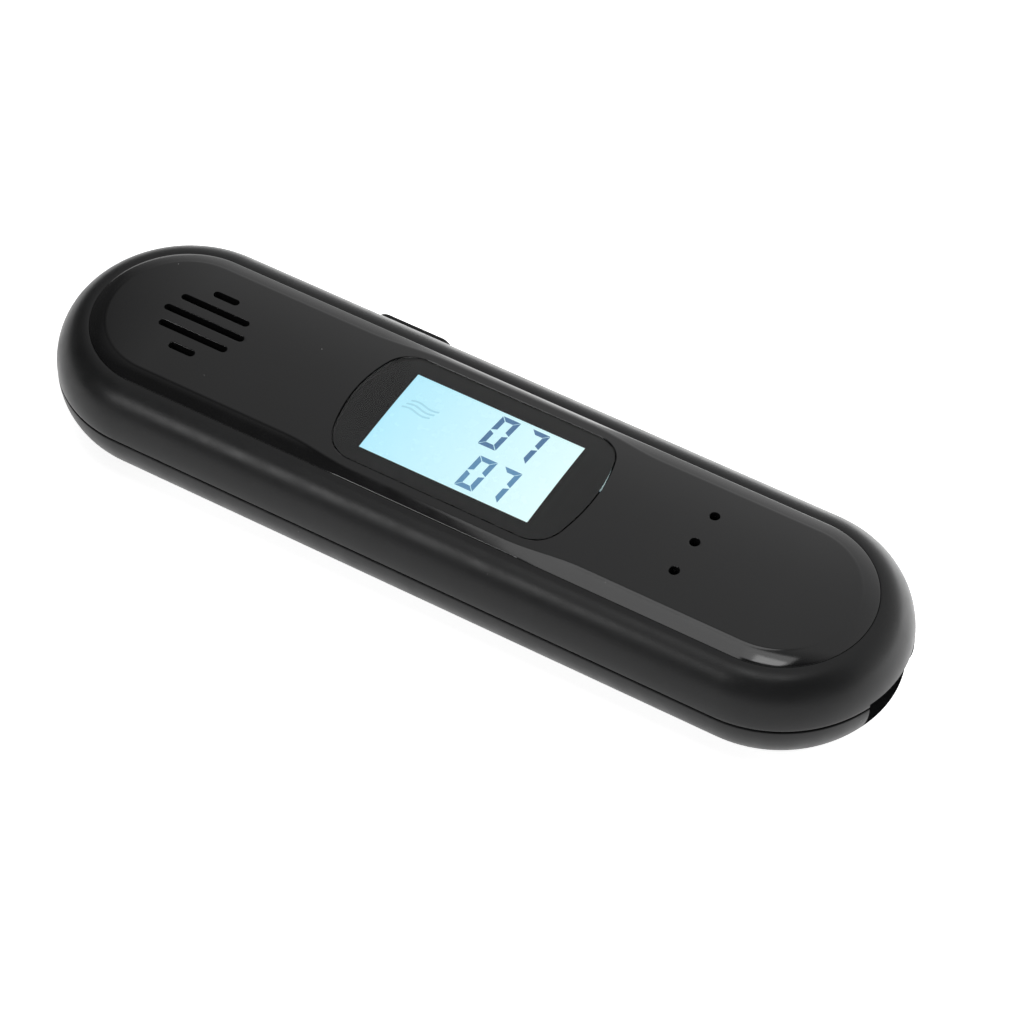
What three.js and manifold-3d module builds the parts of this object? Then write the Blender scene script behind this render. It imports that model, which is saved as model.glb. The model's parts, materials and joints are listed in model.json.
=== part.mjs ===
// A hand-held breath alcohol tester: a long capsule-shaped case in two matte half shells, a
// gloss top panel with a flush display lens, five intake slots over a gas sensor, three
// indicator lights, a side button and a charging port.
//
// Millimetres. +X runs along the case towards the charging port, +Y towards the side button,
// +Z up. The origin is the centre of the flat underside that the case rests on.
import * as THREE from "three";
import { ConvexGeometry } from "three/addons/geometries/ConvexGeometry.js";
import { mergeVertices } from "three/addons/utils/BufferGeometryUtils.js";
import Module from "manifold-3d";

// ---------------------------------------------------------------- driving dimensions

const CASE_LENGTH = 135;
const CASE_WIDTH = 37.5;
const CASE_HEIGHT = 18;
const END_RADIUS = CASE_WIDTH / 2;
const HALF_STRAIGHT = CASE_LENGTH / 2 - END_RADIUS;

const SEAM_Z = 8.6;
const SEAM_GAP = 0.3;
const LOWER_RIM_Z = SEAM_Z - SEAM_GAP / 2;
const UPPER_RIM_Z = SEAM_Z + SEAM_GAP / 2;

const FOOT_RADIUS = 12.5;
const FLOOR_Z = 1.5;
const FLOOR_RADIUS = 11.5;
const LIP_OUTER_RADIUS = 16.6;
const LIP_INNER_RADIUS = 15.8;
const LIP_TOP_Z = 9.8;

const CREASE_RADIUS = 13.56;
const CREASE_Z = 16.2;
const DECK_TOP_Z = 15.6;
const DECK_BOTTOM_Z = 14;
const CEILING_RADIUS = 12;
const UPPER_INNER_RADIUS = 17.1;
const PANEL_GAP = 0.15;
const PANEL_RADIUS = CREASE_RADIUS - PANEL_GAP;

// The panel's face is crowned: its height falls off from the middle as on a circle. It ends
// at a band that slopes down to the crease, and it widens on both sides of the display.
const CROWN_RADIUS = 70;
const FACE_RADIUS = 11.1;
const DISPLAY_SWELL = { halfWidth: 12.25, fullTo: 12, goneAt: 24 };

const LENS_HALF_LENGTH = 19.5;
const LENS_HALF_WIDTH = 10.65;
const LENS_END_RADIUS = 25;
const LENS_CORNER_RADIUS = 4.7;
const LENS_GAP = 0.1;
const LENS_BOTTOM_Z = 16.75;
const MASK_BOTTOM_Z = 16.6;
const GASKET_BOTTOM_Z = 16.4;
const WINDOW = { x: -0.3, y: 0, length: 27.4, width: 15.75, corner: 0.2 };
const GASKET_HOLE = { length: 33.2, width: 19.6, corner: 1 };
const GASKET_INSET = 0.15;
const DISPLAY_OPENING = { halfLength: 17.2, halfWidth: 10.6 };

const BOARD_BOTTOM_Z = 8.3;
const BOARD_TOP_Z = 9.3;
const BOARD_RADIUS = 14.2;
const BOARD_HOLE_RADIUS = 1.3;

const SENSOR_X = -45.1;
const SLOT_PITCH = 2.89;
const SLOT_RADIUS = 0.575;
const SLOT_HALF_LENGTHS = [1.55, 5.17, 6.16, 5.17, 1.55];
const INTAKE_RADIUS = 5.6;
const MESH = { halfLength: 7.7, halfWidth: 7.5, thickness: 0.3, seatDepth: 0.4, seatClearance: 0.3 };

const LIGHT_X = 35.3;
const LIGHTS = [
  { name: "green", y: 5.65, color: 0x3f9a4c },
  { name: "amber", y: 0, color: 0xd98c22 },
  { name: "red", y: -5.65, color: 0xb5262a },
];
const LIGHT_HOLE_RADIUS = 0.75;

const SCREW_PLACES = [
  { name: "case_screw_sensor_left", x: -35, y: -11.2 },
  { name: "case_screw_sensor_right", x: -35, y: 11.2 },
  { name: "case_screw_port_left", x: 43, y: -11.2 },
  { name: "case_screw_port_right", x: 43, y: 11.2 },
];
const BOSS_RADIUS = 2.4;
const BOSS_BOTTOM_Z = 1;
const SCREW_SEAT_Z = 2.2;
const SCREW_HOLE_RADIUS = 1.15;
const HEAD_RECESS_RADIUS = 2.05;
const PILOT_HOLE = { radius: 1, bottomZ: 8, topZ: 13.6 };

const BUTTON = { x: -21.6, z: 10.6, halfStraight: 4.45, radius: 1.9, faceY: 19.55 };
const BUTTON_FLANGE_Y = 14.9;
const BUTTON_FLANGE_THICKNESS = 0.8;
const BUTTON_CLEARANCE = 0.2;
const BUTTON_ROOM = { halfLength: 7.9, backY: 11, frontY: 16.2, bottomZ: 8, topZ: 13.7 };
const BUTTON_NOTCH = { backY: 14.2, frontY: 17, bottomZ: 7.6 };

const PORT = { z: 6.85, width: 7.6, height: 2.8, backX: 58.9, frontX: 64.2 };
const PORT_RECESS = { floorX: 64.4, upperFloorX: 65.6, halfWidth: 6.5, bottomZ: 3.9, topZ: 9.4 };
const PORT_WALL = { backX: 62.4, frontX: 69, halfWidth: 7.8, bottomZ: 0.5 };
const PORT_HOLE = { halfStraight: 2.6, radius: 1.75, backX: 61, frontX: 66 };

const BATTERY_STOPS = { places: [-24, 30], halfLength: 0.5, halfWidth: 9, bottomZ: 1, topZ: 3.4 };

const CASE_SEGMENTS = 56;
const ROUND_SEGMENTS = 24;
const SHELL_STEPS = 7;
const QUARTER_TURN = Math.PI / 2;

// Cutting tools start and end well clear of what they cut.
const CLEAR_OF_DECK = [12, 17];
const CLEAR_OF_PANEL = [14, CASE_HEIGHT + 1];
const CLEAR_OF_END_X = CASE_LENGTH / 2 + 2.5;

// ---------------------------------------------------------------- solids: join and cut

const wasm = await Module();
wasm.setup();

// Merge shared corners and drop the triangles that a lathe collapses on its axis.
function toSolid(geometry) {
  const bare = geometry.clone();
  bare.deleteAttribute("normal");
  bare.deleteAttribute("uv");
  const merged = mergeVertices(bare, 1e-4);
  const index = merged.index.array;
  const triangles = [];
  for (let i = 0; i < index.length; i += 3) {
    const [a, b, c] = [index[i], index[i + 1], index[i + 2]];
    if (a !== b && b !== c && c !== a) {
      triangles.push(a, b, c);
    }
  }
  const vertProperties = new Float32Array(merged.attributes.position.array);
  const triVerts = new Uint32Array(triangles);
  return new wasm.Manifold(new wasm.Mesh({ numProp: 3, vertProperties, triVerts }));
}

function toGeometry(solid) {
  const mesh = solid.getMesh();
  const geometry = new THREE.BufferGeometry();
  geometry.setAttribute("position", new THREE.BufferAttribute(mesh.vertProperties, 3));
  geometry.setIndex(new THREE.BufferAttribute(mesh.triVerts, 1));
  geometry.computeVertexNormals();
  return geometry;
}

function join(...geometries) {
  return toGeometry(geometries.map(toSolid).reduce((sum, next) => sum.add(next)));
}

function cut(base, ...tools) {
  return toGeometry(tools.map(toSolid).reduce((rest, tool) => rest.subtract(tool), toSolid(base)));
}

function common(first, second) {
  return toGeometry(toSolid(first).intersect(toSolid(second)));
}

// ---------------------------------------------------------------- basic shapes

function box(x0, x1, y0, y1, z0, z1) {
  const geometry = new THREE.BoxGeometry(x1 - x0, y1 - y0, z1 - z0);
  return geometry.translate((x0 + x1) / 2, (y0 + y1) / 2, (z0 + z1) / 2);
}

function rod(x, y, z0, z1, radius, segments = ROUND_SEGMENTS) {
  const geometry = new THREE.CylinderGeometry(radius, radius, z1 - z0, segments);
  return geometry.rotateX(QUARTER_TURN).translate(x, y, (z0 + z1) / 2);
}

function turned(profile, segments = ROUND_SEGMENTS) {
  const points = profile.map(([radius, z]) => new THREE.Vector2(radius, z));
  return new THREE.LatheGeometry(points, segments).rotateX(QUARTER_TURN);
}

// A turned profile pulled apart along X, so that its two half turns are joined by a
// straight stretch. Half a step of phase keeps every corner off the plane x = 0.
function capsule(profile, halfStraight, segments) {
  const points = profile.map(([radius, z]) => new THREE.Vector2(radius, z));
  const geometry = new THREE.LatheGeometry(points, segments, Math.PI / segments);
  geometry.rotateX(QUARTER_TURN);
  const position = geometry.attributes.position;
  for (let i = 0; i < position.count; i += 1) {
    const x = position.getX(i);
    if (Math.abs(x) > 1e-6) {
      position.setX(i, x + Math.sign(x) * halfStraight);
    }
  }
  return geometry;
}

// Points on an ellipse in the radius-height plane, from one angle to another in degrees.
function ellipse(centre, semiAxes, fromDegrees, toDegrees, steps) {
  return Array.from({ length: steps + 1 }, (_, i) => {
    const angle = THREE.MathUtils.degToRad(fromDegrees + ((toDegrees - fromDegrees) * i) / steps);
    return [centre[0] + semiAxes[0] * Math.cos(angle), centre[1] + semiAxes[1] * Math.sin(angle)];
  });
}

// The height of the panel's crowned face at a distance from the middle line.
function crownZ(radius) {
  return CASE_HEIGHT - CROWN_RADIUS + Math.sqrt(CROWN_RADIUS ** 2 - radius ** 2);
}

function crownProfile(radius, steps) {
  return Array.from({ length: steps + 1 }, (_, i) => {
    const r = radius * (1 - i / steps);
    return [r, crownZ(r)];
  });
}

function plate(shape, z0, z1, curveSegments = 6) {
  const geometry = new THREE.ExtrudeGeometry(shape, { depth: z1 - z0, bevelEnabled: false, curveSegments });
  return geometry.translate(0, 0, z0);
}

function roundedRectangle(length, width, radius, x = 0, y = 0) {
  const shape = new THREE.Shape();
  const [right, top] = [x + length / 2 - radius, y + width / 2 - radius];
  const [left, bottom] = [x - length / 2 + radius, y - width / 2 + radius];
  shape.absarc(right, top, radius, 0, QUARTER_TURN);
  shape.absarc(left, top, radius, QUARTER_TURN, 2 * QUARTER_TURN);
  shape.absarc(left, bottom, radius, 2 * QUARTER_TURN, 3 * QUARTER_TURN);
  shape.absarc(right, bottom, radius, 3 * QUARTER_TURN, 4 * QUARTER_TURN);
  shape.closePath();
  return shape;
}

function stadium(halfStraight, radius, x = 0, y = 0) {
  const shape = new THREE.Shape();
  shape.absarc(x + halfStraight, y, radius, -QUARTER_TURN, QUARTER_TURN);
  shape.absarc(x - halfStraight, y, radius, QUARTER_TURN, 3 * QUARTER_TURN);
  shape.closePath();
  return shape;
}

// The display outline: straight long sides, bowed ends and rounded corners that meet both
// smoothly. A positive inset makes it smaller all round.
function lensOutline(inset) {
  const halfWidth = LENS_HALF_WIDTH - inset;
  const endRadius = LENS_END_RADIUS - inset;
  const cornerRadius = LENS_CORNER_RADIUS - inset;
  const endCentre = LENS_HALF_LENGTH - LENS_END_RADIUS;
  const rise = halfWidth - cornerRadius;
  const run = Math.sqrt((endRadius - cornerRadius) ** 2 - rise ** 2);
  const bow = Math.atan2(rise, run);
  const cornerX = endCentre + run;
  const shape = new THREE.Shape();
  const halfTurn = 2 * QUARTER_TURN;
  shape.absarc(cornerX, -rise, cornerRadius, -QUARTER_TURN, -bow);
  shape.absarc(endCentre, 0, endRadius, -bow, bow);
  shape.absarc(cornerX, rise, cornerRadius, bow, QUARTER_TURN);
  shape.absarc(-cornerX, rise, cornerRadius, QUARTER_TURN, halfTurn - bow);
  shape.absarc(-endCentre, 0, endRadius, halfTurn - bow, halfTurn + bow);
  shape.absarc(-cornerX, -rise, cornerRadius, halfTurn + bow, 3 * QUARTER_TURN);
  shape.closePath();
  return shape;
}

function withHole(outline, hole) {
  outline.holes.push(hole);
  return outline;
}

// ---------------------------------------------------------------- materials

function plastic(color, roughness) {
  return new THREE.MeshStandardMaterial({ color, roughness, metalness: 0 });
}

function metal(color, roughness) {
  return new THREE.MeshStandardMaterial({ color, roughness, metalness: 1 });
}

const MATTE_BLACK = plastic(0x232427, 0.45);
const GLOSS_BLACK = plastic(0x18191b, 0.1);
const CLEAR_ACRYLIC = plastic(0x8f999c, 0.05);
const PRINT_BLACK = plastic(0x0c0c0d, 0.3);
const DISPLAY_CYAN = plastic(0xcdf4fb, 0.3);
const LIGHT_GUIDE_WHITE = plastic(0xeef2f0, 0.4);
const BOARD_GREEN = plastic(0x14532f, 0.4);
const CHIP_BLACK = plastic(0x1b1b1d, 0.5);
const SOFT_BLACK = plastic(0x151515, 0.8);
const SOCKET_WHITE = plastic(0xe9e6dc, 0.5);
const FOIL_GREY = metal(0xa9adb2, 0.35);
const STEEL = metal(0xb9bcc0, 0.3);
const DARK_STEEL = metal(0x55585c, 0.4);
const WIRE_RED = plastic(0xb01c1c, 0.4);
const WIRE_BLACK = plastic(0x1a1a1a, 0.4);

const tester = new THREE.Group();

function add(name, geometry, material) {
  const mesh = new THREE.Mesh(geometry, material);
  mesh.name = name;
  tester.add(mesh);
  return mesh;
}

// ---------------------------------------------------------------- lower shell

const lowerOutside = [
  [0, 0],
  ...ellipse([FOOT_RADIUS, LOWER_RIM_Z], [END_RADIUS - FOOT_RADIUS, LOWER_RIM_Z], -90, 0, SHELL_STEPS),
];

function lowerShell() {
  const inside = ellipse(
    [FLOOR_RADIUS, LOWER_RIM_Z],
    [LIP_INNER_RADIUS - FLOOR_RADIUS, LOWER_RIM_Z - FLOOR_Z],
    0,
    -90,
    5,
  );
  const profile = [
    ...lowerOutside,
    [LIP_OUTER_RADIUS, LOWER_RIM_Z],
    [LIP_OUTER_RADIUS, LIP_TOP_Z],
    [LIP_INNER_RADIUS, LIP_TOP_Z],
    ...inside,
    [0, FLOOR_Z],
  ];
  const shell = capsule(profile, HALF_STRAIGHT, CASE_SEGMENTS);
  const block = capsule([...lowerOutside, [0, LOWER_RIM_Z]], HALF_STRAIGHT, CASE_SEGMENTS);
  const wallBox = box(
    PORT_WALL.backX, PORT_WALL.frontX, -PORT_WALL.halfWidth, PORT_WALL.halfWidth,
    PORT_WALL.bottomZ, BOARD_BOTTOM_Z,
  );
  const portWall = common(block, wallBox);
  const bosses = SCREW_PLACES.map(({ x, y }) => {
    return rod(x, y, BOSS_BOTTOM_Z, BOARD_BOTTOM_Z, BOSS_RADIUS);
  });
  const body = join(shell, portWall, ...bosses, ...BATTERY_STOPS.places.map(batteryStop));

  const screwHoles = SCREW_PLACES.map(({ x, y }) => {
    return rod(x, y, -1, BOARD_BOTTOM_Z + 1, SCREW_HOLE_RADIUS);
  });
  const headRecesses = SCREW_PLACES.map(({ x, y }) => rod(x, y, -1, SCREW_SEAT_Z, HEAD_RECESS_RADIUS));
  const recess = portRecess(PORT_RECESS.floorX, PORT_RECESS.bottomZ, SEAM_Z);
  const opening = stadium(PORT_HOLE.halfStraight, PORT_HOLE.radius);
  const portHole = plate(opening, PORT_HOLE.backX, PORT_HOLE.frontX).rotateY(QUARTER_TURN);
  portHole.rotateX(QUARTER_TURN).translate(0, 0, PORT.z);
  const buttonNotch = box(
    BUTTON.x - BUTTON_ROOM.halfLength, BUTTON.x + BUTTON_ROOM.halfLength,
    BUTTON_NOTCH.backY, BUTTON_NOTCH.frontY, BUTTON_NOTCH.bottomZ, LIP_TOP_Z + 1,
  );
  return cut(body, ...screwHoles, ...headRecesses, recess, portHole, buttonNotch);
}

function batteryStop(x) {
  const { halfLength, halfWidth, bottomZ, topZ } = BATTERY_STOPS;
  return box(x - halfLength, x + halfLength, -halfWidth, halfWidth, bottomZ, topZ);
}

// The recess about the charging port, from its floor out past the end of the case.
function portRecess(floorX, bottomZ, topZ) {
  const { halfWidth } = PORT_RECESS;
  return box(floorX, CLEAR_OF_END_X, -halfWidth, halfWidth, bottomZ, topZ);
}

add("bottom_shell", lowerShell(), MATTE_BLACK);

// ---------------------------------------------------------------- upper shell and top panel

function upperShell() {
  const outerAxes = [END_RADIUS - CREASE_RADIUS, CREASE_Z - SEAM_Z];
  const innerAxes = [UPPER_INNER_RADIUS - CEILING_RADIUS, DECK_BOTTOM_Z - UPPER_RIM_Z];
  const profile = [
    [0, DECK_BOTTOM_Z],
    ...ellipse([CEILING_RADIUS, UPPER_RIM_Z], innerAxes, 90, 0, 5),
    [END_RADIUS, UPPER_RIM_Z],
    ...ellipse([CREASE_RADIUS, SEAM_Z], outerAxes, 6, 90, SHELL_STEPS),
    [CREASE_RADIUS, DECK_TOP_Z],
    [0, DECK_TOP_Z],
  ];
  const shell = capsule(profile, HALF_STRAIGHT, CASE_SEGMENTS);
  const bosses = SCREW_PLACES.map(({ x, y }) => {
    return rod(x, y, BOARD_TOP_Z, DECK_BOTTOM_Z + 0.5, BOSS_RADIUS);
  });
  const body = join(shell, ...bosses);

  const pilotHoles = SCREW_PLACES.map(({ x, y }) => {
    return rod(x, y, PILOT_HOLE.bottomZ, PILOT_HOLE.topZ, PILOT_HOLE.radius, 16);
  });
  const [low, high] = CLEAR_OF_DECK;
  const displayOpening = displayBox(DISPLAY_OPENING.halfLength, DISPLAY_OPENING.halfWidth, low, high);
  const intake = rod(SENSOR_X, 0, low, high, INTAKE_RADIUS);
  const meshSeat = meshBox(MESH.seatClearance, DECK_TOP_Z - MESH.seatDepth, high);
  const lightHoles = LIGHTS.map(({ y }) => rod(LIGHT_X, y, low, high, LIGHT_HOLE_RADIUS, 16));
  const buttonPocket = box(
    BUTTON.x - BUTTON_ROOM.halfLength, BUTTON.x + BUTTON_ROOM.halfLength,
    BUTTON_ROOM.backY, BUTTON_ROOM.frontY, BUTTON_ROOM.bottomZ, BUTTON_ROOM.topZ,
  );
  const buttonHole = buttonPill(BUTTON_CLEARANCE, 15, END_RADIUS + 2);
  const recess = portRecess(PORT_RECESS.upperFloorX, UPPER_RIM_Z - 1, PORT_RECESS.topZ);
  return cut(
    body, ...pilotHoles, displayOpening, intake, meshSeat, ...lightHoles, buttonPocket, buttonHole, recess,
  );
}

// A box of the display stack, centred under the window.
function displayBox(halfLength, halfWidth, z0, z1) {
  return box(-halfLength, halfLength, -halfWidth, halfWidth, z0, z1).translate(WINDOW.x, WINDOW.y, 0);
}

function meshBox(clearance, z0, z1) {
  const halfLength = MESH.halfLength + clearance;
  const halfWidth = MESH.halfWidth + clearance;
  return box(SENSOR_X - halfLength, SENSOR_X + halfLength, -halfWidth, halfWidth, z0, z1);
}

// A pill-shaped prism about the button's axis, reaching from one Y to another.
function buttonPill(clearance, y0, y1) {
  const prism = plate(stadium(BUTTON.halfStraight, BUTTON.radius + clearance), 0, y1 - y0);
  return prism.rotateX(-QUARTER_TURN).translate(BUTTON.x, y0, BUTTON.z);
}

// A convex block that widens the panel's face on both sides of the display.
function displaySwell() {
  const { halfWidth, fullTo, goneAt } = DISPLAY_SWELL;
  const corners = [
    [goneAt, PANEL_RADIUS, DECK_TOP_Z],
    [goneAt, PANEL_RADIUS, CREASE_Z],
    [goneAt, FACE_RADIUS, crownZ(FACE_RADIUS)],
    [fullTo, halfWidth, crownZ(halfWidth)],
  ];
  const signs = [[1, 1], [1, -1], [-1, 1], [-1, -1]];
  const mirrored = ([x, y, z]) => signs.map(([sx, sy]) => new THREE.Vector3(sx * x, sy * y, z));
  return new ConvexGeometry(corners.flatMap(mirrored));
}

function gasketHole() {
  return roundedRectangle(GASKET_HOLE.length, GASKET_HOLE.width, GASKET_HOLE.corner, WINDOW.x);
}

function topPanel() {
  const profile = [
    [0, DECK_TOP_Z],
    [PANEL_RADIUS, DECK_TOP_Z],
    [PANEL_RADIUS, CREASE_Z],
    ...crownProfile(FACE_RADIUS, 6),
  ];
  const body = join(capsule(profile, HALF_STRAIGHT, CASE_SEGMENTS), displaySwell());
  const lensSeat = plate(lensOutline(-LENS_GAP), GASKET_BOTTOM_Z, CASE_HEIGHT + 1);
  const [low, high] = CLEAR_OF_PANEL;
  const displayOpening = plate(gasketHole(), low, high);
  const slots = SLOT_HALF_LENGTHS.map((halfLength, i) => {
    const y = (i - (SLOT_HALF_LENGTHS.length - 1) / 2) * SLOT_PITCH;
    return plate(stadium(halfLength, SLOT_RADIUS, SENSOR_X, y), low, high);
  });
  const lightHoles = LIGHTS.map(({ y }) => rod(LIGHT_X, y, low, high, LIGHT_HOLE_RADIUS, 20));
  return cut(body, lensSeat, displayOpening, ...slots, ...lightHoles);
}

add("top_shell", upperShell(), MATTE_BLACK);
add("top_panel", topPanel(), GLOSS_BLACK);

// ---------------------------------------------------------------- display

const windowHole = roundedRectangle(WINDOW.length, WINDOW.width, WINDOW.corner, WINDOW.x, WINDOW.y);

// The lens carries on the panel's crown, above a flat back.
function displayLens() {
  const radius = LENS_HALF_WIDTH + 1;
  const profile = [[0, DECK_TOP_Z], [radius, DECK_TOP_Z], ...crownProfile(radius, 8)];
  const crown = capsule(profile, HALF_STRAIGHT, CASE_SEGMENTS);
  return common(plate(lensOutline(0), LENS_BOTTOM_Z, CASE_HEIGHT + 1), crown);
}

add("display_lens", displayLens(), CLEAR_ACRYLIC);
add("lens_mask", plate(withHole(lensOutline(0), windowHole), MASK_BOTTOM_Z, LENS_BOTTOM_Z), PRINT_BLACK);
const gasketOutline = withHole(lensOutline(GASKET_INSET), gasketHole());
add("lens_gasket", plate(gasketOutline, GASKET_BOTTOM_Z, MASK_BOTTOM_Z), SOFT_BLACK);

const GLASS = { halfLength: 15.8, halfWidth: 9.5, bottomZ: 14.7, topZ: 16.5 };
const BACKLIGHT = { halfLength: 15, halfWidth: 7.2, bottomZ: 10.5, topZ: 14.5 };
const FRAME = { halfLength: 17, halfWidth: 10.4, topZ: 15.4 };
const FRAME_WELL = { halfLength: 15.2, halfWidth: 9.2 };
const GLASS_CLEARANCE = 0.2;
const CONNECTOR = { halfLength: 14, halfWidth: 0.75, offsetY: 8.25 };

function displayFrame() {
  const outer = displayBox(FRAME.halfLength, FRAME.halfWidth, BOARD_TOP_Z, FRAME.topZ);
  const glassPocket = displayBox(
    GLASS.halfLength + GLASS_CLEARANCE, GLASS.halfWidth + GLASS_CLEARANCE, GLASS.bottomZ, FRAME.topZ + 1,
  );
  const well = displayBox(FRAME_WELL.halfLength, FRAME_WELL.halfWidth, BOARD_TOP_Z - 1, FRAME.topZ + 1);
  return cut(outer, glassPocket, well);
}

function displayConnector(side) {
  const strip = displayBox(CONNECTOR.halfLength, CONNECTOR.halfWidth, BOARD_TOP_Z, GLASS.bottomZ);
  return strip.translate(0, side * CONNECTOR.offsetY, 0);
}

function displaySlab({ halfLength, halfWidth, bottomZ, topZ }) {
  return displayBox(halfLength, halfWidth, bottomZ, topZ);
}

add("lcd_glass", displaySlab(GLASS), DISPLAY_CYAN);
add("lcd_backlight", displaySlab(BACKLIGHT), LIGHT_GUIDE_WHITE);
add("lcd_frame", displayFrame(), PRINT_BLACK);
add("lcd_connector_front", displayConnector(-1), SOFT_BLACK);
add("lcd_connector_rear", displayConnector(1), SOFT_BLACK);

// ---------------------------------------------------------------- main board

const CONTROLLER = { x: 25.5, y: 0, length: 7, width: 7, height: 1.2 };
const CHARGER = { x: 51, y: 0, length: 4, width: 4, height: 1.2, under: true };
const INDUCTOR = { x: 45.75, y: 0, length: 3.5, width: 3.5, height: 2, under: true };
const CRYSTAL = { x: 25.5, y: 8, halfStraight: 1.6, radius: 1.1, height: 2.4 };
const BUZZER = { x: 53.5, radius: 4.5, height: 4, chamfer: 0.4, holeRadius: 0.9, holeDepth: 1 };

function mainBoard() {
  const body = plate(stadium(HALF_STRAIGHT, BOARD_RADIUS), BOARD_BOTTOM_Z, BOARD_TOP_Z, 12);
  const screwHoles = SCREW_PLACES.map(({ x, y }) => {
    return rod(x, y, BOARD_BOTTOM_Z - 1, BOARD_TOP_Z + 1, BOARD_HOLE_RADIUS, 16);
  });
  return cut(body, ...screwHoles);
}

function buzzer() {
  const { x, radius, height, chamfer, holeRadius, holeDepth } = BUZZER;
  const shell = turned([
    [0, 0], [radius, 0], [radius, height - chamfer], [radius - chamfer, height],
    [holeRadius, height], [holeRadius, height - holeDepth], [0, height - holeDepth],
  ]);
  return shell.translate(x, 0, BOARD_TOP_Z);
}

// A square-cornered part soldered to the top or the underside of the board.
function boardPart({ x, y, length, width, height, under }) {
  const [z0, z1] = under ? [BOARD_BOTTOM_Z - height, BOARD_BOTTOM_Z] : [BOARD_TOP_Z, BOARD_TOP_Z + height];
  return box(x - length / 2, x + length / 2, y - width / 2, y + width / 2, z0, z1);
}

add("main_board", mainBoard(), BOARD_GREEN);
add("controller_chip", boardPart(CONTROLLER), CHIP_BLACK);
const crystalOutline = stadium(CRYSTAL.halfStraight, CRYSTAL.radius, CRYSTAL.x, CRYSTAL.y);
add("crystal_can", plate(crystalOutline, BOARD_TOP_Z, BOARD_TOP_Z + CRYSTAL.height), STEEL);
add("buzzer", buzzer(), CHIP_BLACK);
add("charger_chip", boardPart(CHARGER), CHIP_BLACK);
add("power_inductor", boardPart(INDUCTOR), DARK_STEEL);

// ---------------------------------------------------------------- indicator lights

const SHROUD = { halfLength: 2.6, halfWidth: 8.4, topZ: 13.9, wellRadius: 1.9 };
const LIGHT_PIPE = { bottomZ: 11.4, flangeTopZ: 12.2, topZ: 16.5, flangeRadius: 1.5, radius: 0.62 };
const LAMP = { halfLength: 1.3, halfWidth: 1, baseHeight: 0.8, height: 1.3, domeRadius: 0.8 };

function lightShroud() {
  const { halfLength, halfWidth, topZ, wellRadius } = SHROUD;
  const body = box(LIGHT_X - halfLength, LIGHT_X + halfLength, -halfWidth, halfWidth, BOARD_TOP_Z, topZ);
  const wells = LIGHTS.map(({ y }) => rod(LIGHT_X, y, BOARD_TOP_Z - 1, topZ + 1, wellRadius));
  return cut(body, ...wells);
}

function lightPipe(y) {
  const { bottomZ, flangeTopZ, topZ, flangeRadius, radius } = LIGHT_PIPE;
  const flange = [[0, bottomZ], [flangeRadius, bottomZ], [flangeRadius, flangeTopZ]];
  const stem = [[radius, flangeTopZ], [radius, topZ], [0, topZ]];
  return turned([...flange, ...stem], 16).translate(LIGHT_X, y, 0);
}

function indicatorLamp(y) {
  const { halfLength, halfWidth, baseHeight, height, domeRadius } = LAMP;
  return join(
    box(
      LIGHT_X - halfLength, LIGHT_X + halfLength, y - halfWidth, y + halfWidth,
      BOARD_TOP_Z, BOARD_TOP_Z + baseHeight,
    ),
    rod(LIGHT_X, y, BOARD_TOP_Z + baseHeight / 2, BOARD_TOP_Z + height, domeRadius, 16),
  );
}

add("light_shroud", lightShroud(), SOFT_BLACK);
for (const { name, y, color } of LIGHTS) {
  add(`indicator_led_${name}`, indicatorLamp(y), plastic(color, 0.3));
  add(`light_pipe_${name}`, lightPipe(y), CLEAR_ACRYLIC);
}

// ---------------------------------------------------------------- gas sensor under the slots

const SENSOR_BASE_Z = 9.6;
const SENSOR_CAN_Z = 10.9;
const SENSOR_TOP_Z = 13;

const SENSOR_BASE_RADIUS = 7.5;
const SENSOR_CAN_RADIUS = 6.8;
const SCREEN = { radius: 4.4, seatRadius: 4.6, seatDepth: 0.9, bottomZ: 12.5, topZ: 12.8 };
const SENSOR_GASKET = { innerRadius: 5.2, outerRadius: 7.2 };
const SENSOR_LEG_PITCH = 4;

function sensorCan() {
  const profile = [
    [0, SENSOR_CAN_Z], [SENSOR_CAN_RADIUS, SENSOR_CAN_Z], [SENSOR_CAN_RADIUS, SENSOR_TOP_Z],
    [SCREEN.seatRadius, SENSOR_TOP_Z], [SCREEN.seatRadius, SENSOR_TOP_Z - SCREEN.seatDepth],
    [0, SENSOR_TOP_Z - SCREEN.seatDepth],
  ];
  return turned(profile).translate(SENSOR_X, 0, 0);
}

function sensorBase() {
  const legX = SENSOR_X - SENSOR_LEG_PITCH;
  const legs = [-1, 0, 1].map((place) => {
    return rod(legX, place * SENSOR_LEG_PITCH, BOARD_TOP_Z, SENSOR_BASE_Z + 0.2, 0.3, 8);
  });
  return join(rod(SENSOR_X, 0, SENSOR_BASE_Z, SENSOR_CAN_Z, SENSOR_BASE_RADIUS), ...legs);
}

function ring(inner, outer, z0, z1) {
  const profile = [[inner, z0], [outer, z0], [outer, z1], [inner, z1], [inner, z0]];
  return turned(profile).translate(SENSOR_X, 0, 0);
}

const meshBottomZ = DECK_TOP_Z - MESH.seatDepth;
add("dust_mesh", meshBox(0, meshBottomZ, meshBottomZ + MESH.thickness), SOFT_BLACK);
const gasketRing = ring(SENSOR_GASKET.innerRadius, SENSOR_GASKET.outerRadius, SENSOR_TOP_Z, DECK_BOTTOM_Z);
add("sensor_gasket", gasketRing, SOFT_BLACK);
add("sensor_screen", rod(SENSOR_X, 0, SCREEN.bottomZ, SCREEN.topZ, SCREEN.radius), DARK_STEEL);
add("sensor_can", sensorCan(), STEEL);
add("sensor_base", sensorBase(), SOFT_BLACK);

// ---------------------------------------------------------------- battery and its lead

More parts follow.
